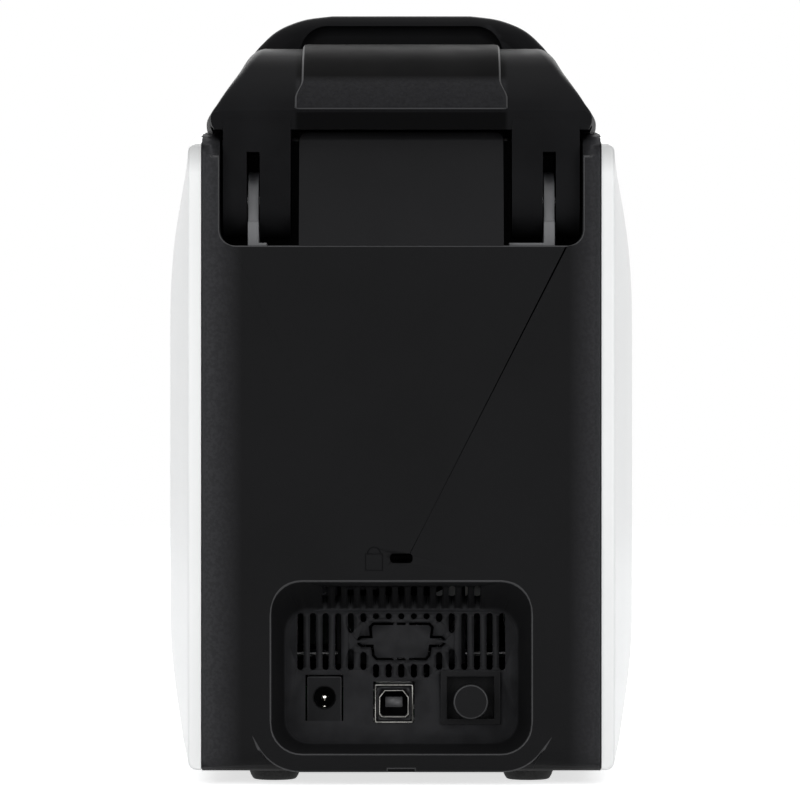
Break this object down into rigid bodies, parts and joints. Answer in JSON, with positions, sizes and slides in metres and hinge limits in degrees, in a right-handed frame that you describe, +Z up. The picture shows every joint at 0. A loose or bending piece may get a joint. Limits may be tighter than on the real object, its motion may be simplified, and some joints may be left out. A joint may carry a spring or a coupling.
{
  "type": "id card printer",
  "caption": "Desktop id card printer with a rear-hinged top lid, white side covers, a front card hopper and tray, a geared card path and a recessed rear connector bay.",
  "frame": {"origin": "centre of the box's underside, on the surface the rubber feet stand on", "axes": "+X across the printer to its right side as seen from the front, +Y towards the rear panel, +Z up"},
  "size_m": [0.16, 0.386, 0.241],
  "materials": {
    "aluminium": "extruded",
    "black_plastic": "fine moulded texture",
    "blue_plastic": "matte",
    "board": "solder mask",
    "brass": "machined",
    "connector_metal": "nickel",
    "display": "smoked",
    "film": "shiny film",
    "gear_plastic": "moulded",
    "grey_plastic": "matte",
    "motor_case": "satin",
    "roller_rubber": "ground",
    "rubber": "matte",
    "sheet_steel": "zinc-plated",
    "steel": "ground",
    "white_plastic": "satin white"
  },
  "bodies": {
    "chassis": {"base_tray": "black_plastic", "rubber_feet": "rubber", "back_panel": "black_plastic", "left_side_cover": "white_plastic", "right_side_cover": "white_plastic", "front_bezel": "black_plastic", "inner_deck": "black_plastic", "display_window": "display", "left_hinge_plate": "sheet_steel", "right_hinge_plate": "sheet_steel", "input_hopper": "grey_plastic", "left_frame": "sheet_steel", "right_frame": "sheet_steel", "tie_bars": "steel", "frame_screws": "steel", "card_guide": "grey_plastic", "roller_bushes": "gear_plastic", "transport_motor": "motor_case", "flipper_motor": "motor_case", "ribbon_cartridge": "white_plastic", "ribbon_film": "film", "ribbon_motor": "motor_case", "main_board": "board", "usb_port": "connector_metal", "dc_jack": "black_plastic", "power_switch": "black_plastic", "fan_frame": "black_plastic"},
    "lid": {"lid_shell": "black_plastic", "lid_hinge_cover": "black_plastic", "lid_liner": "grey_plastic", "hinge_pins": "steel", "printhead": "aluminium", "printhead_bracket": "sheet_steel"},
    "hopper_door": {"hopper_door": "white_plastic"},
    "card_weight": {"card_weight": "blue_plastic"},
    "output_tray": {"output_tray": "white_plastic"},
    "left_button": {"left_button": "grey_plastic"},
    "right_button": {"right_button": "grey_plastic"},
    "release_button": {"release_button": "grey_plastic"},
    "latch_hook": {"latch_hook": "steel"},
    "diverter_gate": {"diverter_gate": "blue_plastic"},
    "pick_roller": {"pick_roller": "roller_rubber"},
    "cleaning_roller": {"cleaning_roller": "roller_rubber"},
    "platen_roller": {"platen_roller": "roller_rubber"},
    "rear_feed_roller": {"rear_feed_roller": "roller_rubber"},
    "front_pinch_roller": {"front_pinch_roller": "roller_rubber"},
    "rear_pinch_roller": {"rear_pinch_roller": "roller_rubber"},
    "front_idler_gear": {"front_idler_gear": "gear_plastic"},
    "middle_idler_gear": {"middle_idler_gear": "gear_plastic"},
    "rear_idler_gear": {"rear_idler_gear": "gear_plastic"},
    "motor_pinion": {"motor_pinion": "brass"},
    "flipper": {"flipper_frame": "blue_plastic"},
    "flipper_roller": {"flipper_roller": "roller_rubber"},
    "flipper_pinion": {"flipper_pinion": "brass"},
    "supply_spool": {"supply_spool": "film"},
    "takeup_spool": {"takeup_spool": "white_plastic", "takeup_gear": "gear_plastic"},
    "ribbon_pinion": {"ribbon_pinion": "brass"},
    "power_button": {"power_button": "black_plastic"},
    "fan_rotor": {"fan_rotor": "black_plastic"}
  },
  "joints": [
    {"name": "lid_swing", "type": "hinge", "parent": "chassis", "child": "lid", "pos_m": [0, 0.177, 0.1805], "axis": [-1, 0, 0], "range_deg": [0, 80]},
    {"name": "hopper_door_swing", "type": "hinge", "parent": "chassis", "child": "hopper_door", "pos_m": [0, -0.189, 0.085], "axis": [1, 0, 0], "range_deg": [0, 78]},
    {"name": "output_tray_slide", "type": "slide", "parent": "chassis", "child": "output_tray", "axis": [0, -1, 0], "range_m": [0, 0.085]},
    {"name": "card_weight_slide", "type": "slide", "parent": "chassis", "child": "card_weight", "axis": [0, 0, 1], "range_m": [0, 0.055]},
    {"name": "left_button_press", "type": "slide", "parent": "chassis", "child": "left_button", "axis": [0, 0.7629, -0.6465], "range_m": [0, 0.0008], "stiffness_N_per_m": 600},
    {"name": "right_button_press", "type": "slide", "parent": "chassis", "child": "right_button", "axis": [0, 0.7629, -0.6465], "range_m": [0, 0.0008], "stiffness_N_per_m": 600},
    {"name": "release_button_press", "type": "slide", "parent": "chassis", "child": "release_button", "axis": [0, 0.7629, -0.6465], "range_m": [0, 0.003], "stiffness_N_per_m": 500},
    {"name": "latch_turn", "type": "hinge", "parent": "chassis", "child": "latch_hook", "pos_m": [0, -0.165, 0.15796], "axis": [-1, 0, 0], "range_deg": [0, 18.2]},
    {"name": "power_button_press", "type": "slide", "parent": "chassis", "child": "power_button", "axis": [0, -1, 0], "range_m": [0, 0.0035], "stiffness_N_per_m": 500},
    {"name": "diverter_turn", "type": "hinge", "parent": "chassis", "child": "diverter_gate", "pos_m": [0, -0.062, 0.0825], "axis": [-1, 0, 0], "range_deg": [0, 24]},
    {"name": "platen_spin", "type": "hinge", "parent": "chassis", "child": "platen_roller", "pos_m": [0, 0, 0.081], "axis": [1, 0, 0], "continuous": true},
    {"name": "pick_spin", "type": "hinge", "parent": "chassis", "child": "pick_roller", "pos_m": [0, -0.096, 0.081], "axis": [1, 0, 0], "continuous": true},
    {"name": "cleaning_spin", "type": "hinge", "parent": "chassis", "child": "cleaning_roller", "pos_m": [0, -0.048, 0.081], "axis": [1, 0, 0], "continuous": true},
    {"name": "rear_feed_spin", "type": "hinge", "parent": "chassis", "child": "rear_feed_roller", "pos_m": [0, 0.048, 0.081], "axis": [1, 0, 0], "continuous": true},
    {"name": "front_pinch_spin", "type": "hinge", "parent": "chassis", "child": "front_pinch_roller", "pos_m": [0, -0.048, 0.09376], "axis": [1, 0, 0], "continuous": true},
    {"name": "rear_pinch_spin", "type": "hinge", "parent": "chassis", "child": "rear_pinch_roller", "pos_m": [0, 0.048, 0.09376], "axis": [1, 0, 0], "continuous": true},
    {"name": "front_idler_spin", "type": "hinge", "parent": "chassis", "child": "front_idler_gear", "pos_m": [0, -0.072, 0.081], "axis": [1, 0, 0], "continuous": true},
    {"name": "middle_idler_spin", "type": "hinge", "parent": "chassis", "child": "middle_idler_gear", "pos_m": [0, -0.024, 0.081], "axis": [1, 0, 0], "continuous": true},
    {"name": "rear_idler_spin", "type": "hinge", "parent": "chassis", "child": "rear_idler_gear", "pos_m": [0, 0.024, 0.081], "axis": [1, 0, 0], "continuous": true},
    {"name": "motor_spin", "type": "hinge", "parent": "chassis", "child": "motor_pinion", "pos_m": [0, 0.024, 0.063], "axis": [1, 0, 0], "continuous": true},
    {"name": "flipper_turn", "type": "hinge", "parent": "chassis", "child": "flipper", "pos_m": [0, 0.105, 0.088], "axis": [1, 0, 0], "continuous": true},
    {"name": "flipper_roller_spin", "type": "hinge", "parent": "flipper", "child": "flipper_roller", "pos_m": [0, 0.105, 0.0816], "axis": [1, 0, 0], "continuous": true},
    {"name": "flipper_motor_spin", "type": "hinge", "parent": "chassis", "child": "flipper_pinion", "pos_m": [0, 0.147, 0.088], "axis": [1, 0, 0], "continuous": true},
    {"name": "supply_spin", "type": "hinge", "parent": "chassis", "child": "supply_spool", "pos_m": [0, -0.042, 0.118], "axis": [1, 0, 0], "continuous": true},
    {"name": "takeup_spin", "type": "hinge", "parent": "chassis", "child": "takeup_spool", "pos_m": [0, 0.038, 0.118], "axis": [1, 0, 0], "continuous": true},
    {"name": "ribbon_motor_spin", "type": "hinge", "parent": "chassis", "child": "ribbon_pinion", "pos_m": [0, 0.06982, 0.14982], "axis": [1, 0, 0], "continuous": true},
    {"name": "fan_spin", "type": "hinge", "parent": "chassis", "child": "fan_rotor", "pos_m": [0, 0.16, 0.056], "axis": [0, 1, 0], "continuous": true}
  ],
  "couplings": [
    {"joint": "latch_turn", "follows": "release_button_press", "rad_per_m": 104.72},
    {"joint": "pick_spin", "follows": "platen_spin", "ratio": 1},
    {"joint": "cleaning_spin", "follows": "platen_spin", "ratio": 1},
    {"joint": "rear_feed_spin", "follows": "platen_spin", "ratio": 1},
    {"joint": "front_idler_spin", "follows": "platen_spin", "ratio": -1},
    {"joint": "middle_idler_spin", "follows": "platen_spin", "ratio": -1},
    {"joint": "rear_idler_spin", "follows": "platen_spin", "ratio": -1},
    {"joint": "motor_spin", "follows": "platen_spin", "ratio": 2},
    {"joint": "flipper_motor_spin", "follows": "flipper_turn", "ratio": -2.5},
    {"joint": "ribbon_motor_spin", "follows": "takeup_spin", "ratio": -2}
  ]
}
